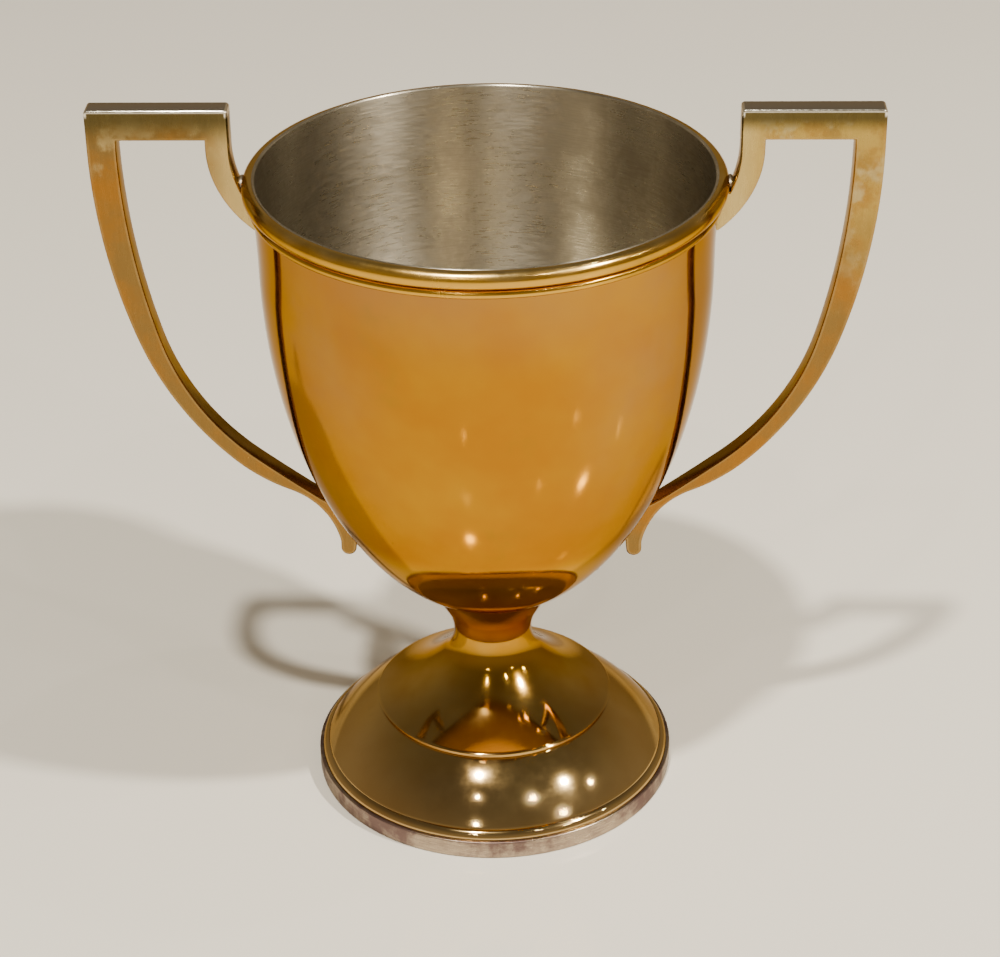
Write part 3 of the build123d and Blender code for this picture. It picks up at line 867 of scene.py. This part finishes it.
# %% Nut
nut_low, nut_high = corners("stud_nut")
FLATS = 4.0 * MM
NUT_BORE = STUD_RADIUS
CONE_START, CONE_SLOPE = 1.03, 1.7
OUTSIDE = 1.0
heights = [0.0, 0.15, 0.3, 0.5, 0.7]
rise = [nut_low.z + height * MM for height in heights]
rise += [nut_high.z - height * MM for height in heights[::-1]]
nut_profile = [(OUTSIDE, height) for height in rise]
bore_profile = [(NUT_BORE, nut_high.z - chamfer), (NUT_BORE, nut_low.z + chamfer)]
points, faces = spin_mesh(nut_profile + bore_profile, 120, closed=True)
shaped = []
for x, y, z in points:
    if hypot(x, y) > OUTSIDE / 2:
        angle = atan2(y, x)
        flat = FLATS / cos((angle + pi / 6) % (pi / 3) - pi / 6)
        from_face = min(z - nut_low.z, nut_high.z - z)
        radius = min(flat, FLATS * CONE_START + from_face * CONE_SLOPE)
        x, y = radius * cos(angle), radius * sin(angle)
    shaped.append((x, y, z))
make_piece("stud_nut", shaped, faces, [steel], ["stud_nut"])

# %% [markdown]
# ## The table
#
# A plain pale table top with a slight polish carries the cup. It is not part of the trophy,
# but the gilt bowl mirrors it, so its brightness gives the bowl most of its colour.

# %% Table
TABLE, TABLE_POLISH = 3.0, 0.06
table_mesh = bpy.data.meshes.new("table")
table_corners = [(-TABLE, -TABLE, 0), (TABLE, -TABLE, 0), (TABLE, TABLE, 0), (-TABLE, TABLE, 0)]
table_mesh.from_pydata(table_corners, [], [(0, 1, 2, 3)])
table = bpy.data.objects.new("table", table_mesh)
bpy.context.collection.objects.link(table)
table_material = bpy.data.materials.new("pale table")
table_material.use_nodes = True
tree = table_material.node_tree
shader = tree.nodes["Principled BSDF"]
tone = mixed(tree, cloud(tree, 0.2, 4.0), (0.80, 0.765, 0.68), (0.84, 0.805, 0.72))
tree.links.new(tone, shader.inputs["Base Color"])
shader.inputs["Roughness"].default_value = TABLE_POLISH
table_mesh.materials.append(table_material)
print("the table is", 2 * TABLE, "metres wide")

# %% [markdown]
# ## Light
#
# Two lamps from the front, one to each side, throw the soft shadows. A few weaker ones high
# round the room only show as sparks in the polished foot. The room itself is dim, so metal
# that looks up turns dark brown, and metal that looks down mirrors the bright table.

# %% Room and lamps
world = bpy.data.worlds.new("room")
world.use_nodes = True
tree = world.node_tree
height = put(tree, "SeparateXYZ", {0: put(tree, "TexCoord").outputs["Generated"]}).outputs[2]
walls = mixed(tree, spread(tree, height, 0.15, 0.95), (0.34, 0.28, 0.20), (0.13, 0.115, 0.09))
tree.links.new(walls, tree.nodes["Background"].inputs[0])
bpy.context.scene.world = world
LAMP_DISTANCE = 1.8
LAMP_AIM = Vector((0, 0, 0.07))
WARM_WHITE = (1.0, 0.93, 0.82)


def lamp(name, heading, height, power, size):
    """A round lamp aimed at the cup. Heading turns from the front towards the right, in degrees."""
    light = bpy.data.lights.new(name, "AREA")
    light.shape = "DISK"
    light.size = size
    light.energy = power
    light.color = WARM_WHITE
    lamp_object = bpy.data.objects.new(name, light)
    turn, lift = radians(heading), radians(height)
    aim = Vector((sin(turn) * cos(lift), -cos(turn) * cos(lift), sin(lift)))
    lamp_object.location = aim * LAMP_DISTANCE + LAMP_AIM
    lamp_object.rotation_euler = aim.to_track_quat("Z", "Y").to_euler()
    bpy.context.collection.objects.link(lamp_object)


lamp("right key lamp", 66, 48, power=36, size=0.09)
lamp("left key lamp", -21, 68, power=32, size=0.09)
CEILING = ((-15, 54), (35, 50), (80, 36), (50, 34), (-12, 37), (100, 66))
for number, (heading, height) in enumerate(CEILING):
    lamp(f"ceiling lamp {number + 1}", heading, height, power=1.6, size=0.03)
print("the room has", len(bpy.data.lights), "lamps")

# %% [markdown]
# ## Camera
#
# The camera looks down at the cup from the front, a little to the right, with a long lens.

# %% Camera
CAMERA_PLACE = Vector((0.0200, -0.5213, 0.3757))
LENS_LENGTH, SENSOR_WIDTH = 94.76, 36.0
HEADING, DOWN, ROLL = radians(1.955), radians(29.87), radians(-0.85)
forward = Vector((-sin(HEADING) * cos(DOWN), cos(HEADING) * cos(DOWN), -sin(DOWN)))
level = forward.cross(Vector((0, 0, 1))).normalized()
upright = level.cross(forward)
across = cos(ROLL) * level + sin(ROLL) * upright
over = -sin(ROLL) * level + cos(ROLL) * upright
lens = bpy.data.cameras.new("camera")
lens.lens = LENS_LENGTH
lens.sensor_width = SENSOR_WIDTH
camera = bpy.data.objects.new("camera", lens)
facing = Matrix((across, over, -forward)).transposed().to_4x4()
camera.matrix_world = Matrix.Translation(CAMERA_PLACE) @ facing
bpy.context.collection.objects.link(camera)
bpy.context.scene.camera = camera

# %% [markdown]
#
# The built pieces should fill the same boxes as the drawing's pieces. The scene is brought up to date.

# %% Bring the scene up to date
bpy.context.view_layer.update()
